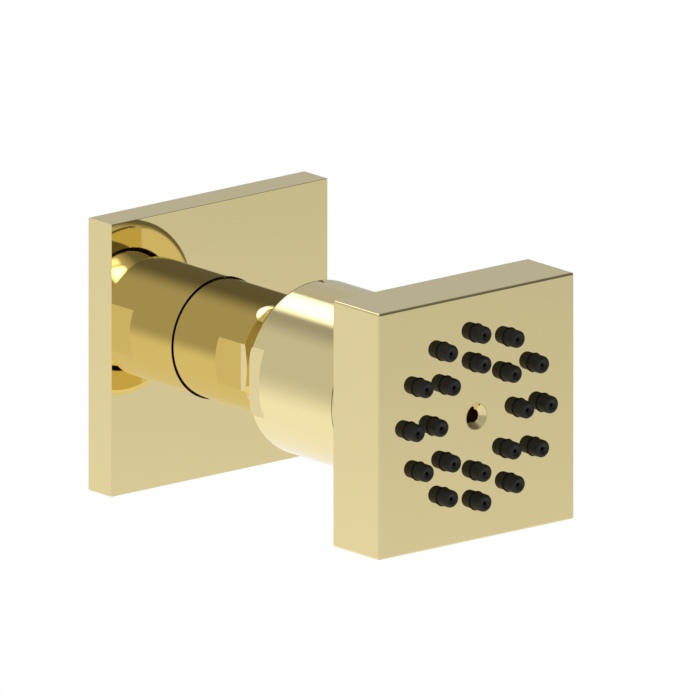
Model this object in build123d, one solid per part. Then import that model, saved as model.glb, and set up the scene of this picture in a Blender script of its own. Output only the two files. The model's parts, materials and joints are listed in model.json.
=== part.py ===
"""Shower body jet: a square spray head on a ball joint, carried by a threaded stem.

Millimetres. The wall is the plane y = 0, the spray leaves towards -Y and +Z is up.
A depth is a distance out from the wall, so a point at depth d lies at y = -d.
"""
from build123d import *
from math import cos, radians, sin, sqrt, tan
import os

# wall plate, which slides along the stem and covers the hole in the wall
plate_side = 62.0
plate_depth = 7.85
plate_wall = 2.0
plate_edge = 0.1
plate_hub_wall = 2.2
plate_hub_setback = 0.8
plate_gap = 0.34
plate_ring_section = 1.6
plate_ring_depth = 3.1

# stem: round body with spanner flats, threaded inlet, neck and ball
stem_radius = 13.5
stem_reach = 23.53
stem_nose_width = 3.0
stem_nose_slope = 30.0
stem_flats_cut = 1.1
stem_flats_length = 8.88
neck_radius = 7.2
thread_radius = 9.316
thread_length = 12.5
undercut_radius = 10.6
undercut_length = 2.5
water_radius = 5.5
ball_radius = 15.8
ball_nose_trim = 3.3

# filter washer and flow regulator inside the stem
screen_thickness = 0.4
screen_hole_radius = 0.55
screen_hole_pitch = 1.9
screen_open_radius = 6.2
washer_thickness = 1.6
washer_bore_radius = 6.9
regulator_radius = 7.55
regulator_length = 7.0
regulator_setback = 2.0
regulator_floor = 4.0
regulator_groove_inner = 3.0
regulator_groove_outer = 6.2
regulator_jet_radius = 0.9
regulator_jets = 8
regulator_ring_section = 2.0

# collar: the nut that holds the ball
neck_gap = 6.568
collar_wall = 3.2
collar_length = 29.95
collar_rim_round = 1.5
collar_flats_cut = 1.6
collar_flats_length = 5.2
collar_lip_angle = 57.4
collar_lip_land = 0.2
collar_thread_step = 0.9
collar_front_edge = 0.1

# ball joint pieces between the ball and the collar
slip_ring_thickness = 0.54
slip_ring_start_angle = 73.0
slip_ring_end_angle = 84.0
seat_start = 4.0
seat_length = 5.6
seat_groove_start = 3.0
seat_groove_width = 1.8
seat_ring_section = 1.44
thrust_washer_thickness = 1.0
thrust_washer_width = 3.6

# spray head
projection = 95.95
head_side = 56.1
head_depth = 15.85
head_wall = 2.0
head_face = 2.0
head_ledge = 1.5
head_edge = 0.5
seam_gap = 0.3
collar_ring_section = 1.5
collar_ring_groove_width = 2.0
nose_ball_gap = 0.8
feed_radius = 8.0
cover_thickness = 3.0
cover_corner = 1.5
pillar_radius = 3.4
pillar_root = 4.2
web_thickness = 2.2
web_count = 3
gasket_thickness = 1.5

# spray face: silicone nozzles in two rings, and the screw in the middle
outer_ring_radius = 19.1
outer_ring_count = 12
inner_ring_radius = 12.33
inner_ring_count = 8
nozzle_reach = 3.2
nozzle_base_radius = 2.0
nozzle_tip_radius = 1.95
nozzle_tip_round = 0.6
nozzle_bore_radius = 0.45
nozzle_dish_radius = 1.2
nozzle_dish_depth = 0.4
nozzle_feed_radius = 1.1
nozzle_hole_gap = 0.22
mat_thickness = 1.6
jet_plate_thickness = 2.0
jet_plate_skirt = 1.5
tray_corner = 3.0
centre_boss_radius = 5.0
centre_boss_depth = 5.7
screw_head_radius = 3.0
screw_head_depth = 4.4
screw_dish_radius = 2.9
screw_dish_depth = 1.2
screw_socket_width = 3.0
screw_socket_depth = 3.0
screw_radius = 2.0
screw_length = 11.0
screw_seal_thickness = 1.0

# clearances
running_clearance = 0.08
ring_clearance = 0.05
seat_clearance = 0.06
thread_clearance = 0.05
tray_clearance = 0.2
screw_clearance = 0.2

# depths that several pieces share
stem_shoulder_depth = plate_depth + stem_reach
stem_end_depth = stem_shoulder_depth + stem_nose_width * tan(radians(stem_nose_slope))
screen_seat_depth = thread_length + undercut_length
regulator_seat_depth = screen_seat_depth + regulator_setback + regulator_length
collar_back_depth = stem_end_depth + neck_gap
collar_front_depth = collar_back_depth + collar_length
pocket_radius = ball_radius + slip_ring_thickness + 2 * running_clearance
mouth_set = pocket_radius * cos(radians(collar_lip_angle))
ball_depth = collar_back_depth + collar_lip_land + mouth_set
ball_nose_depth = ball_depth + ball_radius - ball_nose_trim
seat_back_depth = ball_depth + seat_start
seat_front_depth = seat_back_depth + seat_length
nose_end_depth = seat_front_depth + seat_clearance + thrust_washer_thickness
head_back_depth = projection - head_depth
cover_front_depth = head_back_depth + cover_thickness
ledge_depth = cover_front_depth + gasket_thickness
face_back_depth = projection - head_face
mat_back_depth = face_back_depth - mat_thickness
tray_back_depth = mat_back_depth - jet_plate_thickness
centre_seat_depth = projection - centre_boss_depth
pillar_end_depth = centre_seat_depth - screw_seal_thickness
screw_seat_depth = projection - screw_head_depth
boss_back_depth = collar_front_depth + seam_gap

# radii and widths that follow from the ones above
plate_hole_radius = stem_radius + plate_gap
plate_groove_radius = stem_radius + plate_ring_section + 2 * ring_clearance
regulator_pocket_radius = regulator_radius + thread_clearance
collar_radius = pocket_radius + collar_wall
collar_mouth_radius = pocket_radius * sin(radians(collar_lip_angle))
collar_thread_radius = pocket_radius + collar_thread_step
nose_radius = collar_thread_radius - thread_clearance
seat_radius = pocket_radius - seat_clearance
seat_sphere_radius = ball_radius + running_clearance
seat_groove_radius = pocket_radius - seat_clearance - seat_ring_section
nose_pocket_radius = sqrt(ball_radius**2 - (nose_end_depth - ball_depth) ** 2) + nose_ball_gap
cavity_side = head_side - 2 * head_wall
chamber_side = cavity_side - 2 * head_ledge
tray_side = chamber_side - 2 * tray_clearance
nozzle_hole_radius = nozzle_base_radius + nozzle_hole_gap
centre_hole_radius = centre_boss_radius + tray_clearance

# profile plane: first value is the depth, second the radius
profile_plane = Plane(origin=(0, 0, 0), x_dir=(0, -1, 0), z_dir=(-1, 0, 0))


def across(depth):
    """Plane parallel to the wall at a depth, facing out, with +X right and +Z up."""
    return Plane(origin=(0, -depth, 0), x_dir=(1, 0, 0), z_dir=(0, -1, 0))


def turned(*points):
    """Solid of revolution about the stem axis from (depth, radius) points."""
    return revolve(profile_plane * make_face(Polyline(*points, close=True)), Axis.Y)


def tube(start, end, inner, outer):
    """Plain ring between two depths and two radii."""
    return turned((start, inner), (end, inner), (end, outer), (start, outer))


def rod(start, end, radius):
    """Plain cylinder on the stem axis."""
    return extrude(across(start) * Circle(radius), end - start)


def o_ring(depth, centre_radius, section):
    """Round-section ring on the stem axis."""
    return across(depth) * Torus(centre_radius, section / 2)


def sphere_point(radius, angle):
    """Point of a circle round the ball's centre, by angle from the wall side."""
    return (ball_depth - radius * cos(radians(angle)), radius * sin(radians(angle)))


def sphere_arc(radius, start_angle, end_angle):
    """Arc round the ball's centre between two angles from the wall side."""
    middle = (start_angle + end_angle) / 2
    return ThreePointArc(*[sphere_point(radius, a) for a in (start_angle, middle, end_angle)])


def turned_edges(*edges):
    """Solid of revolution from a closed chain of lines and arcs."""
    return revolve(profile_plane * make_face(Wire(list(edges))), Axis.Y)


def ball_solid(radius):
    """Full ball at the joint's centre."""
    half = [sphere_arc(radius, 0, 180), Line(sphere_point(radius, 180), sphere_point(radius, 0))]
    return turned_edges(*half)


def copies(spots, outline):
    """One flat sketch with the outline repeated at every spot."""
    return Sketch() + [spot * outline for spot in spots]


def square(depth, length, side, corner):
    """Square block on the axis with rounded upright corners."""
    return extrude(across(depth) * RectangleRounded(side, side, corner), length)


def spanner_flats(start, length, radius, cut):
    """Two side blocks that cut spanner flats this deep into a round of the given radius."""
    waste = 2 * radius
    spots = [Pos(side * (radius - cut + waste / 2), 0) for side in (-1, 1)]
    return extrude(across(start) * copies(spots, Rectangle(waste, 2 * waste)), length)


def nozzle_spots():
    """Centres of the nozzles: two rings, each with one nozzle straight up."""
    outer = PolarLocations(outer_ring_radius, outer_ring_count)
    inner = PolarLocations(inner_ring_radius, inner_ring_count)
    return list(outer) + list(inner)


def nozzle_bores(depth, length, radius):
    """Straight holes at every nozzle."""
    return extrude(across(depth) * copies(nozzle_spots(), Circle(radius)), length)


def make_wall_plate():
    block = extrude(across(0) * Rectangle(plate_side, plate_side), plate_depth)
    wall_edges = block.faces().sort_by(Axis.Y)[-1].edges()
    block = fillet(block.edges() - wall_edges, plate_edge)
    inside_depth = plate_depth - plate_wall
    inside_side = plate_side - 2 * plate_wall
    block -= extrude(across(0) * Rectangle(inside_side, inside_side), inside_depth)
    block += rod(plate_hub_setback, inside_depth, plate_groove_radius + plate_hub_wall)
    block -= rod(0, plate_depth, plate_hole_radius)
    half = plate_ring_section / 2 + ring_clearance
    return block - tube(plate_ring_depth - half, plate_ring_depth + half, stem_radius, plate_groove_radius)


def make_plate_o_ring():
    centre_radius = stem_radius + ring_clearance + plate_ring_section / 2
    return o_ring(plate_ring_depth, centre_radius, plate_ring_section)


def make_stem():
    body = turned(
        (0, thread_radius),
        (thread_length, thread_radius),
        (thread_length, undercut_radius),
        (screen_seat_depth, undercut_radius),
        (screen_seat_depth, regulator_pocket_radius),
        (regulator_seat_depth, regulator_pocket_radius),
        (regulator_seat_depth, water_radius),
        (stem_end_depth, water_radius),
        (stem_end_depth, stem_radius - stem_nose_width),
        (stem_shoulder_depth, stem_radius),
        (0, stem_radius),
    )
    flats_start = stem_shoulder_depth - stem_flats_length
    body -= spanner_flats(flats_start, stem_end_depth - flats_start, stem_radius, stem_flats_cut)
    ball = ball_solid(ball_radius) + rod(stem_end_depth, ball_depth, neck_radius)
    ball -= rod(ball_nose_depth, ball_nose_depth + ball_radius, ball_radius)
    return body + ball - rod(regulator_seat_depth, ball_nose_depth, water_radius)


def make_filter_screen():
    radius = undercut_radius - ring_clearance
    disc = rod(screen_seat_depth - screen_thickness, screen_seat_depth, radius)
    reach = int(screen_open_radius / screen_hole_pitch)
    steps = range(-reach, reach + 1)
    grid = [(column * screen_hole_pitch, row * screen_hole_pitch) for column in steps for row in steps]
    spots = [Pos(x, z) for x, z in grid if x * x + z * z < screen_open_radius**2]
    holes = across(screen_seat_depth - screen_thickness) * copies(spots, Circle(screen_hole_radius))
    return disc - extrude(holes, screen_thickness)


def make_inlet_washer():
    end = screen_seat_depth - screen_thickness
    return tube(end - washer_thickness, end, washer_bore_radius, undercut_radius - ring_clearance)


def make_regulator_body():
    start = regulator_seat_depth - regulator_length
    floor_depth = regulator_seat_depth - regulator_floor
    body = rod(start, regulator_seat_depth, regulator_radius)
    body -= tube(start, floor_depth, regulator_groove_inner, regulator_groove_outer)
    middle = (regulator_groove_inner + regulator_groove_outer) / 2
    jets = copies(PolarLocations(middle, regulator_jets), Circle(regulator_jet_radius))
    return body - extrude(across(floor_depth) * jets, regulator_floor)


def make_regulator_ring():
    depth = regulator_seat_depth - regulator_floor - regulator_ring_section / 2
    return o_ring(depth, (regulator_groove_inner + regulator_groove_outer) / 2, regulator_ring_section)


def make_collar():
    collar = rod(collar_back_depth, collar_front_depth, collar_radius)
    front_edge = collar.edges().filter_by(GeomType.CIRCLE).sort_by(Axis.Y)[0]
    collar = chamfer(front_edge, collar_front_edge)
    rear_edge = collar.edges().filter_by(GeomType.CIRCLE).sort_by(Axis.Y)[-1]
    collar = fillet(rear_edge, collar_rim_round)
    collar -= spanner_flats(collar_back_depth, collar_flats_length, collar_radius, collar_flats_cut)
    collar -= rod(collar_back_depth, ball_depth, collar_mouth_radius)
    collar -= ball_solid(pocket_radius)
    collar -= rod(ball_depth, nose_end_depth, pocket_radius)
    return collar - rod(nose_end_depth, collar_front_depth, collar_thread_radius)


def make_slip_ring():
    inner = ball_radius + running_clearance
    outer = inner + slip_ring_thickness
    ends = (slip_ring_start_angle, slip_ring_end_angle)
    sides = [Line(sphere_point(inner, angle), sphere_point(outer, angle)) for angle in ends]
    return turned_edges(sphere_arc(inner, *ends), sphere_arc(outer, *ends), *sides)


def make_ball_seat():
    seat = rod(seat_back_depth, seat_front_depth, seat_radius) - ball_solid(seat_sphere_radius)
    start = seat_back_depth + seat_groove_start
    return seat - tube(start, start + seat_groove_width, seat_groove_radius, pocket_radius)


def make_seat_o_ring():
    depth = seat_back_depth + seat_groove_start + seat_groove_width / 2
    return o_ring(depth, seat_groove_radius + seat_ring_section / 2, seat_ring_section)


def make_thrust_washer():
    outer = pocket_radius - ring_clearance
    return tube(nose_end_depth - thrust_washer_thickness, nose_end_depth, outer - thrust_washer_width, outer)


def make_back_cover():
    cover = rod(nose_end_depth, boss_back_depth, nose_radius)
    cover += rod(boss_back_depth, head_back_depth, collar_radius)
    side = cavity_side - 2 * thread_clearance
    cover += square(head_back_depth, cover_thickness, side, cover_corner)
    groove_start = boss_back_depth - collar_ring_groove_width
    groove_floor = collar_thread_radius - collar_ring_section
    cover -= tube(groove_start, boss_back_depth, groove_floor, collar_radius)
    cover -= rod(nose_end_depth, ball_depth + ball_radius + nose_ball_gap, nose_pocket_radius)
    cover -= rod(nose_end_depth, cover_front_depth, feed_radius)
    root_depth = head_back_depth - pillar_root
    cover += rod(root_depth, pillar_end_depth, pillar_radius)
    length = feed_radius + thread_clearance
    web = Pos(length / 2, 0) * Rectangle(length, web_thickness)
    turns = [Rot(0, 0, 90 + turn * 360 / web_count) for turn in range(web_count)]
    cover += extrude(across(root_depth) * copies(turns, web), cover_front_depth - root_depth)
    hole = screw_radius + thread_clearance
    return cover - rod(screw_seat_depth - screw_length, pillar_end_depth, hole)


def make_collar_o_ring():
    depth = boss_back_depth - collar_ring_groove_width / 2
    return o_ring(depth, collar_thread_radius - collar_ring_section / 2, collar_ring_section)


def make_cover_gasket():
    side = cavity_side - 2 * thread_clearance
    ring = square(cover_front_depth, gasket_thickness, side, cover_corner)
    return ring - square(cover_front_depth, gasket_thickness, chamber_side, tray_corner)


def make_head_shell():
    shell = extrude(across(head_back_depth) * Rectangle(head_side, head_side), head_depth)
    shell = fillet(shell.edges(), head_edge)
    shell -= square(head_back_depth, ledge_depth - head_back_depth, cavity_side, cover_corner)
    shell -= square(ledge_depth, face_back_depth - ledge_depth, chamber_side, tray_corner)
    shell += rod(centre_seat_depth, face_back_depth, centre_boss_radius)
    shell -= nozzle_bores(face_back_depth, head_face, nozzle_hole_radius)
    shell -= rod(centre_seat_depth, projection, screw_radius + screw_clearance)
    return shell - rod(screw_seat_depth, projection, screw_head_radius + ring_clearance)


def make_jet_plate():
    plate = square(cover_front_depth, mat_back_depth - cover_front_depth, tray_side, tray_corner)
    inner_side = tray_side - 2 * jet_plate_skirt
    inner_corner = tray_corner - jet_plate_skirt
    plate -= square(cover_front_depth, tray_back_depth - cover_front_depth, inner_side, inner_corner)
    plate -= nozzle_bores(tray_back_depth, jet_plate_thickness, nozzle_feed_radius)
    return plate - rod(tray_back_depth, mat_back_depth, centre_hole_radius)


def make_nozzle():
    """One solid nozzle on the axis, from the front of its mat to its tip."""
    tip = projection + nozzle_reach
    nozzle = turned(
        (face_back_depth, 0),
        (face_back_depth, nozzle_base_radius),
        (projection, nozzle_base_radius),
        (tip, nozzle_tip_radius),
        (tip, 0),
    )
    tip_edge = nozzle.edges().filter_by(GeomType.CIRCLE).sort_by(Axis.Y)[0]
    return fillet(tip_edge, nozzle_tip_round)


def make_nozzle_bore():
    """The water way of one nozzle, which narrows to the jet hole in the dished tip."""
    tip = projection + nozzle_reach
    return turned(
        (mat_back_depth, 0),
        (mat_back_depth, nozzle_feed_radius),
        (projection, nozzle_feed_radius),
        (projection + nozzle_reach / 2, nozzle_bore_radius),
        (tip - nozzle_dish_depth, nozzle_bore_radius),
        (tip, nozzle_dish_radius),
        (tip, 0),
    )


def at_nozzles(solid):
    """Copies of a solid on the axis, moved to every nozzle."""
    places = [spot.position for spot in nozzle_spots()]
    return [Pos(place.X, 0, place.Y) * solid for place in places]


def make_nozzle_mat():
    mat = square(mat_back_depth, mat_thickness, tray_side, tray_corner)
    mat -= rod(mat_back_depth, face_back_depth, centre_hole_radius)
    return mat + at_nozzles(make_nozzle()) - at_nozzles(make_nozzle_bore())


def make_centre_screw():
    dish_floor = projection - screw_dish_depth
    socket_floor = dish_floor - screw_socket_depth
    screw = rod(screw_seat_depth, projection, screw_head_radius)
    screw += rod(screw_seat_depth - screw_length, screw_seat_depth, screw_radius)
    screw -= turned(
        (dish_floor, 0),
        (dish_floor, screw_socket_width / 2),
        (projection, screw_dish_radius),
        (projection, 0),
    )
    socket = RegularPolygon(screw_socket_width / 2, 6, major_radius=False)
    return screw - extrude(across(socket_floor) * socket, screw_socket_depth)


def make_screw_seal():
    return tube(pillar_end_depth, centre_seat_depth, screw_radius + screw_clearance, pillar_radius)


makers = {
    "wall_plate": make_wall_plate,
    "plate_o_ring": make_plate_o_ring,
    "stem": make_stem,
    "inlet_washer": make_inlet_washer,
    "filter_screen": make_filter_screen,
    "regulator_body": make_regulator_body,
    "regulator_ring": make_regulator_ring,
    "slip_ring": make_slip_ring,
    "ball_seat": make_ball_seat,
    "seat_o_ring": make_seat_o_ring,
    "thrust_washer": make_thrust_washer,
    "collar": make_collar,
    "collar_o_ring": make_collar_o_ring,
    "back_cover": make_back_cover,
    "cover_gasket": make_cover_gasket,
    "head_shell": make_head_shell,
    "jet_plate": make_jet_plate,
    "nozzle_mat": make_nozzle_mat,
    "centre_screw": make_centre_screw,
    "screw_seal": make_screw_seal,
}

os.makedirs("parts", exist_ok=True)
for name, maker in makers.items():
    export_step(maker(), f"parts/{name}.step")
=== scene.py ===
"""Looks of the shower body jet: polished brass with black nozzles, in a white studio."""
import json
from math import cos, pi, radians, sin

import bpy
from mathutils import Matrix, Vector


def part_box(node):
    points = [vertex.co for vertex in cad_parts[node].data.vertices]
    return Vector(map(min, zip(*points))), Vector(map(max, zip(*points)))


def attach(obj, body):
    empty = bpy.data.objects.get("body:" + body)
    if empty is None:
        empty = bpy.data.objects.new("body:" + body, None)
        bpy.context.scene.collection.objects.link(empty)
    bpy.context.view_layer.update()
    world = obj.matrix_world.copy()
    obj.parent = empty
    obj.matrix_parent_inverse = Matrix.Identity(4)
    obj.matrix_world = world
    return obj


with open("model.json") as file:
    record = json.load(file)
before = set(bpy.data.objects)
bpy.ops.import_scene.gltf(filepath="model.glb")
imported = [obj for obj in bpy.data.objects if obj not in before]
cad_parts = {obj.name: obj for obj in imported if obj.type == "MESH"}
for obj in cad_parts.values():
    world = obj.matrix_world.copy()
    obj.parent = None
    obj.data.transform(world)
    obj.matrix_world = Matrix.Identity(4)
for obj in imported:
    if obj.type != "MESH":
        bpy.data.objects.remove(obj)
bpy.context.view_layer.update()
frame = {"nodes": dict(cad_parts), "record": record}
nodes = frame["nodes"]
scene = bpy.context.scene
scene.view_settings.view_transform = "Standard"
scene.cycles.glossy_bounces = 6
scene.cycles.max_bounces = 8

MM = 0.001

# camera: parallel projection, as in the photograph
CAMERA_AZIMUTH = -39.93
CAMERA_ELEVATION = 14.93
CAMERA_WIDTH = 152.475 * MM
CAMERA_DISTANCE = 0.8
CAMERA_CLIP = 100
FRAME_RIGHT = 32.984 * MM
FRAME_DOWN = 3.496 * MM

# sides that stay bare: hollows of plate and collar, bores of the stem, socket of the screw; the
# collar's hollow and the screw's socket are also painted dark as painted shade
PLATE_INNER = 30.9 * MM
PLATE_HOLLOW = 6.8 * MM
COLLAR_HOLLOW_RADIUS = 17.5 * MM
COLLAR_HOLLOW_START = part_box("collar")[1][1] - 0.25 * MM
BORE_RADIUS = 11 * MM
BORE_DEPTH = 28 * MM
STEM_END_LAYER = 0.05 * MM
SOCKET_RADIUS = 1.8 * MM
SOCKET_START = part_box("centre_screw")[0][1] + 1.25 * MM

# brass: pairs of colours, spans of roughness, and the scale and detail of each noise
POLISHED_BRASS = ((0.905, 0.772, 0.400), (0.925, 0.792, 0.420))
POLISHED_ROUGHNESS = (0.01, 0.04)
COLOUR_DRIFT = (30, 2)
POLISHING_HAZE = (900, 4)
SURFACE_WAVE = (400, 2)
SURFACE_WAVE_SHARE = 0.004
BARE_BRASS = ((0.60, 0.47, 0.22), (0.72, 0.58, 0.29))
# painted shade: dark colours for the collar's hollow and the screw's socket, standing in for the
# shade inside these recesses
SHADE_PAINTED_BRASS = ((0.20, 0.10, 0.06), (0.32, 0.18, 0.11))
BARE_ROUGHNESS = (0.22, 0.42)
BARE_STAIN = (700, 4)
BARE_GRAIN = (2200, 5)
BARE_GRAIN_SHARE = 0.6
BRASS_RELIEF = 0.03 * MM

# other materials: two colours, the span of the roughness, the strength of the relief,
# and the noise scales of the three
PLAIN_RELIEF = 0.05 * MM
PLAIN_FINISHES = {
    # soft black rubber of the nozzles, with a low sheen and a fine moulded grain
    "black_silicone": {
        "metallic": 0.0, "specular": 0.3,
        "colours": ((0.020, 0.020, 0.018), (0.030, 0.029, 0.028)),
        "roughness": (0.45, 0.6), "relief": 0.15, "scales": (600, 2500, 4000),
    },
    # matt black rubber of the hidden seals
    "seal_rubber": {
        "metallic": 0.0, "specular": 0.5,
        "colours": ((0.012, 0.012, 0.012), (0.03, 0.03, 0.03)),
        "roughness": (0.5, 0.7), "relief": 0.2, "scales": (500, 2000, 3000),
    },
    # natural white moulded plastic of the inner pieces
    "white_plastic": {
        "metallic": 0.0, "specular": 0.5,
        "colours": ((0.72, 0.71, 0.67), (0.80, 0.79, 0.76)),
        "roughness": (0.3, 0.5), "relief": 0.1, "scales": (120, 1500, 2500),
    },
    # bright steel of the inlet's filter
    "steel_mesh": {
        "metallic": 1.0, "specular": 0.5,
        "colours": ((0.50, 0.50, 0.49), (0.66, 0.66, 0.65)),
        "roughness": (0.18, 0.35), "relief": 0.2, "scales": (800, 1800, 2500),
    },
}

# inlet thread
THREAD_RADIUS = 9.316 * MM
THREAD_PITCH = 1.814 * MM
THREAD_START = 0.7 * MM
THREAD_END = 12.0 * MM
THREAD_HEIGHT = 0.28 * MM
THREAD_ROOT = -0.02 * MM
THREAD_FOOT = 0.6 * MM
THREAD_CREST = 0.12 * MM
THREAD_FADE = 0.25
THREAD_STEPS = 96

# studio: y of a ray is how far it points to the wall, and roll is its angle in degrees
# from straight up towards the right; a pair is where a soft edge starts and ends
WALLS_LEVEL = 0.515
WALLS_RISE = 0.115
SHADE_AZIMUTH = 67
SHADE_EDGE = (0.15, 0.65)
SHADE_LEVEL = 0.29
LEFT_GAP_START = (-46, -18)
LEFT_GAP_END = (5, -5)
LEFT_GAP_LEVEL = -0.38
RIGHT_GAP_START = (10, 25)
RIGHT_GAP_END = (75, 50)
RIGHT_GAP_LEVEL = -0.16
GAPS_Y_START = (0.2, 0.6)
STRIP_CORE_EDGE = (28.5, 20)
STRIP_CORE_LEVEL = 3.0
STRIP_GLOW_EDGE = (23, 7)
STRIP_GLOW_LEVEL = 0.9
STRIP_Y_START = (0.38, 0.5)
STRIP_Y_END = (0.86, 0.6)
PATCH_EDGE = (23, 14)
PATCH_LEVEL = 1.1
PATCH_Y_START = (0.13, 0.25)
PATCH_Y_END = (0.42, 0.34)
LAMPS_LEFT_EDGE = (-14.5, 0.5)
BELOW_LEVEL = 0.875
BELOW_RISE = 0.135
HORIZON = 0.02
HORIZON_BLUR = 0.455
HORIZON_BLUR_RISE = 0.127
FLOOR_DROP = 0.25
FLOOR_SIZE = 40.0


def direction(azimuth, elevation):
    """Unit vector by degrees: azimuth 0 is the front, elevation 90 straight up."""
    a, e = radians(azimuth), radians(elevation)
    return Vector((sin(a) * cos(e), -cos(a) * cos(e), sin(e)))


def make_camera():
    """Orthographic camera, aimed to the right of the wall plate so that the whole part shows."""
    back = direction(CAMERA_AZIMUTH, CAMERA_ELEVATION)
    right = direction(CAMERA_AZIMUTH + 90, 0)
    up = back.cross(right)
    target = right * FRAME_RIGHT - up * FRAME_DOWN
    data = bpy.data.cameras.new("camera")
    data.type = "ORTHO"
    data.ortho_scale = CAMERA_WIDTH
    data.clip_end = CAMERA_CLIP
    camera = bpy.data.objects.new("camera", data)
    turn = Matrix((right, up, back)).transposed().to_4x4()
    camera.matrix_world = Matrix.Translation(target + back * CAMERA_DISTANCE) @ turn
    scene.collection.objects.link(camera)
    scene.camera = camera


def fill(tree, socket, value):
    """Sets a node's input to a number or vector, or wires it to another node's output."""
    if isinstance(value, bpy.types.NodeSocket):
        tree.links.new(value, socket)
    else:
        socket.default_value = value


def calc(tree, operation, *values):
    """Result of a math node."""
    node = tree.nodes.new("ShaderNodeMath")
    node.operation = operation
    for socket, value in zip(node.inputs, values):
        fill(tree, socket, value)
    return node.outputs["Value"]


def ease(tree, value, edge, low=0.0, high=1.0):
    """Smooth step from low to high while the value goes from the edge's start to its end."""
    node = tree.nodes.new("ShaderNodeMapRange")
    node.interpolation_type = "SMOOTHSTEP"
    start, end = edge
    settings = {"Value": value, "From Min": start, "From Max": end, "To Min": low, "To Max": high}
    for name, setting in settings.items():
        fill(tree, node.inputs[name], setting)
    return node.outputs["Result"]


def ease_angle(tree, angle, edge, low=0.0, high=1.0):
    """Smooth step by an angle, with the edge in degrees."""
    return ease(tree, angle, [radians(end) for end in edge], low, high)


def towards(tree, ray, azimuth, elevation):
    """How far a ray points in a direction, from 1 down to -1."""
    node = tree.nodes.new("ShaderNodeVectorMath")
    node.operation = "DOT_PRODUCT"
    fill(tree, node.inputs[0], ray)
    fill(tree, node.inputs[1], direction(azimuth, elevation))
    return node.outputs["Value"]


def wall_light(tree, ray, y, roll):
    """Grey walls and ceiling: dark to the right, with two dimmer gaps beside the softbox."""
    walls = calc(tree, "MULTIPLY_ADD", y, WALLS_RISE, WALLS_LEVEL)
    shade = ease(tree, towards(tree, ray, SHADE_AZIMUTH, 0), SHADE_EDGE, 1.0, SHADE_LEVEL)
    left = calc(tree, "MULTIPLY", ease_angle(tree, roll, LEFT_GAP_START),
                ease_angle(tree, roll, LEFT_GAP_END, 0.0, LEFT_GAP_LEVEL))
    right = calc(tree, "MULTIPLY", ease_angle(tree, roll, RIGHT_GAP_START),
                 ease_angle(tree, roll, RIGHT_GAP_END, 0.0, RIGHT_GAP_LEVEL))
    gaps = calc(tree, "MULTIPLY", calc(tree, "ADD", left, right), ease(tree, y, GAPS_Y_START))
    shaded = calc(tree, "MULTIPLY", walls, shade)
    return calc(tree, "MULTIPLY", shaded, calc(tree, "ADD", gaps, 1.0))


def lamp_light(tree, y, roll):
    """One long softbox overhead, brightest on its left, and a dimmer patch nearer the front."""
    strip = calc(tree, "ADD", ease_angle(tree, roll, STRIP_CORE_EDGE, 0.0, STRIP_CORE_LEVEL),
                 ease_angle(tree, roll, STRIP_GLOW_EDGE, 0.0, STRIP_GLOW_LEVEL))
    strip = calc(tree, "MULTIPLY", strip, ease(tree, y, STRIP_Y_START))
    strip = calc(tree, "MULTIPLY", strip, ease(tree, y, STRIP_Y_END))
    patch = calc(tree, "MULTIPLY", ease(tree, y, PATCH_Y_START),
                 ease(tree, y, PATCH_Y_END, 0.0, PATCH_LEVEL))
    patch = calc(tree, "MULTIPLY", patch, ease_angle(tree, roll, PATCH_EDGE))
    lamps = calc(tree, "ADD", strip, patch)
    return calc(tree, "MULTIPLY", lamps, ease_angle(tree, roll, LAMPS_LEFT_EDGE))


def studio_light(tree, ray):
    """Brightness along a ray: walls and lamps above the horizon, a pale floor below."""
    parts = tree.nodes.new("ShaderNodeSeparateXYZ")
    fill(tree, parts.inputs["Vector"], ray)
    x, y, z = parts.outputs
    roll = calc(tree, "ARCTAN2", x, z)
    above = calc(tree, "ADD", wall_light(tree, ray, y, roll), lamp_light(tree, y, roll))
    below = calc(tree, "MULTIPLY_ADD", y, BELOW_RISE, BELOW_LEVEL)
    blur = calc(tree, "MULTIPLY_ADD", y, HORIZON_BLUR_RISE, HORIZON_BLUR)
    depth = calc(tree, "DIVIDE", calc(tree, "SUBTRACT", HORIZON, z), blur)
    share = ease(tree, depth, (0.0, 1.0))
    return calc(tree, "MULTIPLY_ADD", share, calc(tree, "SUBTRACT", below, above), above)


def shown_light(tree, ray):
    """The studio as reflections see it, and plain white where the camera looks straight at it."""
    path = tree.nodes.new("ShaderNodeLightPath")
    return calc(tree, "MAXIMUM", studio_light(tree, ray), path.outputs["Is Camera Ray"])


def node_tree(material):
    """Clears a material's nodes and returns its tree and a shader wired to the output."""
    material.use_nodes = True
    tree = material.node_tree
    tree.nodes.clear()
    shader = tree.nodes.new("ShaderNodeBsdfPrincipled")
    output = tree.nodes.new("ShaderNodeOutputMaterial")
    tree.links.new(shader.outputs["BSDF"], output.inputs["Surface"])
    return tree, shader


def noise(tree, scale, detail=2.0):
    """Noise in object space, so that it stays put on the piece."""
    place = tree.nodes.new("ShaderNodeTexCoord")
    texture = tree.nodes.new("ShaderNodeTexNoise")
    texture.inputs["Scale"].default_value = scale
    texture.inputs["Detail"].default_value = detail
    tree.links.new(place.outputs["Object"], texture.inputs["Vector"])
    return texture.outputs["Fac"]


def spread(tree, value, low, high):
    """Maps a 0 to 1 value to a range."""
    node = tree.nodes.new("ShaderNodeMapRange")
    node.inputs["To Min"].default_value = low
    node.inputs["To Max"].default_value = high
    tree.links.new(value, node.inputs["Value"])
    return node.outputs["Result"]


def blend_colours(tree, value, first, second):
    """Colour between two ends by a 0 to 1 value."""
    ramp = tree.nodes.new("ShaderNodeValToRGB")
    ramp.color_ramp.elements[0].color = (*first, 1)
    ramp.color_ramp.elements[1].color = (*second, 1)
    tree.links.new(value, ramp.inputs["Fac"])
    return ramp.outputs["Color"]


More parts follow.
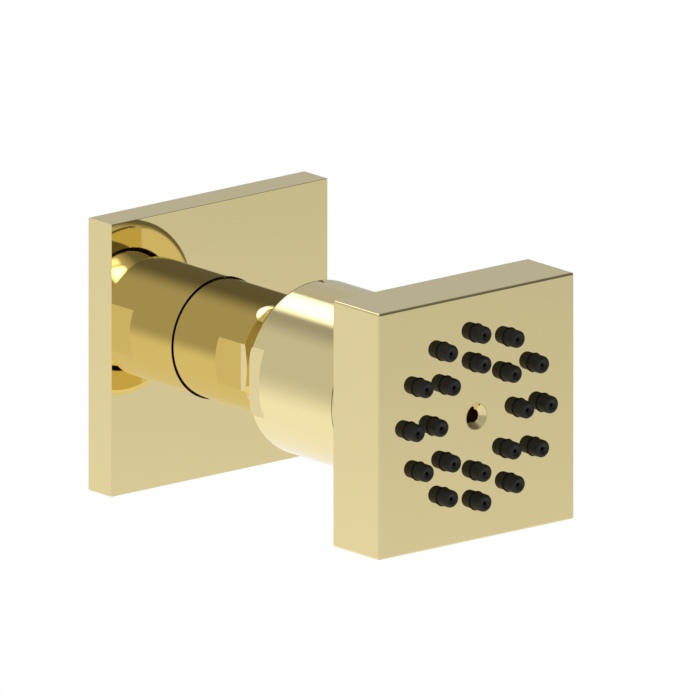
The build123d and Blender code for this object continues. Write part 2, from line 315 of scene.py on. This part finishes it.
def bump(tree, shader, value, strength, distance):
    """Fine relief from a 0 to 1 value."""
    node = tree.nodes.new("ShaderNodeBump")
    node.inputs["Strength"].default_value = strength
    node.inputs["Distance"].default_value = distance
    tree.links.new(value, node.inputs["Height"])
    tree.links.new(node.outputs["Normal"], shader.inputs["Normal"])


def place_on_piece(tree):
    """A point's x, y and z in the frame."""
    place = tree.nodes.new("ShaderNodeTexCoord")
    parts = tree.nodes.new("ShaderNodeSeparateXYZ")
    tree.links.new(place.outputs["Object"], parts.inputs["Vector"])
    return parts.outputs


def axis_distance(tree, x, z):
    """A point's distance from the part's axis."""
    return calc(tree, "SQRT", calc(tree, "MULTIPLY_ADD", x, x, calc(tree, "MULTIPLY", z, z)))


def plate_hollow(tree):
    """1 on the plate's inner side, which is never polished."""
    x, y, z = place_on_piece(tree)
    side = calc(tree, "MAXIMUM", calc(tree, "ABSOLUTE", x), calc(tree, "ABSOLUTE", z))
    within = calc(tree, "LESS_THAN", side, PLATE_INNER)
    return calc(tree, "MULTIPLY", within, calc(tree, "GREATER_THAN", y, -PLATE_HOLLOW))


def collar_hollow(tree):
    """1 on the collar's inner side, in front of its lip, which is painted dark as shade."""
    x, y, z = place_on_piece(tree)
    within = calc(tree, "LESS_THAN", axis_distance(tree, x, z), COLLAR_HOLLOW_RADIUS)
    return calc(tree, "MULTIPLY", within, calc(tree, "LESS_THAN", y, COLLAR_HOLLOW_START))


def stem_bore(tree):
    """1 in the stem's bores and on its end at the wall."""
    x, y, z = place_on_piece(tree)
    within = calc(tree, "LESS_THAN", axis_distance(tree, x, z), BORE_RADIUS)
    bored = calc(tree, "MULTIPLY", within, calc(tree, "GREATER_THAN", y, -BORE_DEPTH))
    return calc(tree, "MAXIMUM", bored, calc(tree, "GREATER_THAN", y, -STEM_END_LAYER))


def screw_socket(tree):
    """1 in the screw's socket, which is painted dark as shade."""
    x, y, z = place_on_piece(tree)
    within = calc(tree, "LESS_THAN", axis_distance(tree, x, z), SOCKET_RADIUS)
    return calc(tree, "MULTIPLY", within, calc(tree, "GREATER_THAN", y, SOCKET_START))


def brass(name, bare_or_shade=None, bare_or_shade_colours=None):
    """Mirror finish with faint haze and a slight drift of colour; where the mask gives 1 it is dull
    and takes the given colours, which are bare brass or dark painted shade.
    """
    material = bpy.data.materials.new(name)
    tree, shader = node_tree(material)
    shader.inputs["Metallic"].default_value = 1.0
    colour = blend_colours(tree, noise(tree, *COLOUR_DRIFT), *POLISHED_BRASS)
    roughness = spread(tree, noise(tree, *POLISHING_HAZE), *POLISHED_ROUGHNESS)
    relief = calc(tree, "MULTIPLY", noise(tree, *SURFACE_WAVE), SURFACE_WAVE_SHARE)
    # with the dark colours, the masked area is painted shade rather than bare metal
    if bare_or_shade:
        share = bare_or_shade(tree)
        mix = tree.nodes.new("ShaderNodeMix")
        mix.data_type = "RGBA"
        tree.links.new(share, mix.inputs["Factor"])
        tree.links.new(colour, mix.inputs["A"])
        tree.links.new(blend_colours(tree, noise(tree, *BARE_STAIN), *bare_or_shade_colours), mix.inputs["B"])
        colour = mix.outputs["Result"]
        grain = noise(tree, *BARE_GRAIN)
        dull = spread(tree, grain, *BARE_ROUGHNESS)
        roughness = calc(tree, "MULTIPLY_ADD", share, dull, roughness)
        bare_grain = calc(tree, "MULTIPLY", share, grain)
        relief = calc(tree, "MULTIPLY_ADD", bare_grain, BARE_GRAIN_SHARE, relief)
    tree.links.new(colour, shader.inputs["Base Color"])
    tree.links.new(roughness, shader.inputs["Roughness"])
    bump(tree, shader, relief, 1.0, BRASS_RELIEF)
    return material


def bare_brass():
    """Dull machined brass of the inlet thread."""
    material = bpy.data.materials.new("bare_brass")
    tree, shader = node_tree(material)
    shader.inputs["Metallic"].default_value = 1.0
    colour = blend_colours(tree, noise(tree, *BARE_STAIN), *BARE_BRASS)
    tree.links.new(colour, shader.inputs["Base Color"])
    grain = noise(tree, *BARE_GRAIN)
    tree.links.new(spread(tree, grain, *BARE_ROUGHNESS), shader.inputs["Roughness"])
    bump(tree, shader, grain, BARE_GRAIN_SHARE, BRASS_RELIEF)
    return material


def plain_finish(name, look):
    """Material whose colour, roughness and relief each follow a noise of their own."""
    material = bpy.data.materials.new(name)
    tree, shader = node_tree(material)
    shader.inputs["Metallic"].default_value = look["metallic"]
    shader.inputs["Specular IOR Level"].default_value = look["specular"]
    colour_noise, roughness_noise, relief_noise = [noise(tree, scale) for scale in look["scales"]]
    colour = blend_colours(tree, colour_noise, *look["colours"])
    tree.links.new(colour, shader.inputs["Base Color"])
    tree.links.new(spread(tree, roughness_noise, *look["roughness"]), shader.inputs["Roughness"])
    bump(tree, shader, relief_noise, look["relief"], PLAIN_RELIEF)
    return material


def dress_nodes():
    """Gives every CAD node the material of its slot, with bare metal where no polish reaches and
    painted shade in the collar's hollow and the screw's socket.
    """
    finishes = {name: plain_finish(name, look) for name, look in PLAIN_FINISHES.items()}
    finishes["polished_brass"] = brass("polished_brass")
    special = {
        "wall_plate": brass("plate_brass", plate_hollow, BARE_BRASS),
        # painted shade: the collar's hollow is darkened as the shade inside it
        "collar": brass("collar_brass", collar_hollow, SHADE_PAINTED_BRASS),
        "stem": brass("stem_brass", stem_bore, BARE_BRASS),
        # painted shade: the screw's socket is darkened as the shade in the hole
        "centre_screw": brass("screw_brass", screw_socket, SHADE_PAINTED_BRASS),
    }
    for part in frame["record"]["subparts"]:
        piece = nodes[part["node"]]
        piece.data.materials.clear()
        piece.data.materials.append(special.get(part["node"]) or finishes[part["material_slot"]])


def make_thread():
    """Helical crest of the half-inch pipe thread in the stem's inlet, fading out at both ends."""
    turns = (THREAD_END - THREAD_START) / THREAD_PITCH
    steps = round(turns * THREAD_STEPS)
    verts, faces = [], []
    for step in range(steps + 1):
        turn = step / THREAD_STEPS
        height = THREAD_HEIGHT * min(1, turn / THREAD_FADE, (turns - turn) / THREAD_FADE)
        depth = THREAD_START + THREAD_PITCH * turn
        across, up = -sin(2 * pi * turn), cos(2 * pi * turn)
        for rise, offset in ((THREAD_ROOT, -THREAD_FOOT), (height, -THREAD_CREST),
                             (height, THREAD_CREST), (THREAD_ROOT, THREAD_FOOT)):
            radius = THREAD_RADIUS - rise
            verts.append((radius * across, -(depth + offset), radius * up))
    for step in range(steps):
        for corner in range(4):
            a, b = 4 * step + corner, 4 * step + (corner + 1) % 4
            faces.append((a, b, b + 4, a + 4))
    faces.append((3, 2, 1, 0))
    faces.append(tuple(4 * steps + corner for corner in range(4)))
    data = bpy.data.meshes.new("inlet_thread")
    data.from_pydata(verts, [], faces)
    data.materials.append(bare_brass())
    thread = bpy.data.objects.new("inlet_thread", data)
    scene.collection.objects.link(thread)
    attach(thread, "stem")


def make_floor():
    """Wide white floor well below the part, which glows as the studio does and so has no shadow."""
    data = bpy.data.meshes.new("floor")
    half = FLOOR_SIZE / 2
    corners = [(-half, -half), (half, -half), (half, half), (-half, half)]
    data.from_pydata([(x, y, -FLOOR_DROP) for x, y in corners], [], [(0, 1, 2, 3)])
    floor = bpy.data.objects.new("floor", data)
    material = bpy.data.materials.new("floor_white")
    tree, shader = node_tree(material)
    shader.inputs["Base Color"].default_value = (0, 0, 0, 1)
    shader.inputs["Specular IOR Level"].default_value = 0.0
    shader.inputs["Emission Color"].default_value = (1, 1, 1, 1)
    place = tree.nodes.new("ShaderNodeNewGeometry")
    ray = tree.nodes.new("ShaderNodeVectorMath")
    ray.operation = "NORMALIZE"
    tree.links.new(place.outputs["Position"], ray.inputs[0])
    tree.links.new(shown_light(tree, ray.outputs["Vector"]), shader.inputs["Emission Strength"])
    data.materials.append(material)
    scene.collection.objects.link(floor)


def make_world():
    """The studio all round, by direction."""
    world = bpy.data.worlds.new("studio")
    scene.world = world
    world.use_nodes = True
    tree = world.node_tree
    tree.nodes.clear()
    output = tree.nodes.new("ShaderNodeOutputWorld")
    background = tree.nodes.new("ShaderNodeBackground")
    background.inputs["Color"].default_value = (1, 1, 1, 1)
    tree.links.new(background.outputs["Background"], output.inputs["Surface"])
    place = tree.nodes.new("ShaderNodeTexCoord")
    tree.links.new(shown_light(tree, place.outputs["Generated"]), background.inputs["Strength"])


make_camera()
dress_nodes()
make_thread()
make_floor()
make_world()
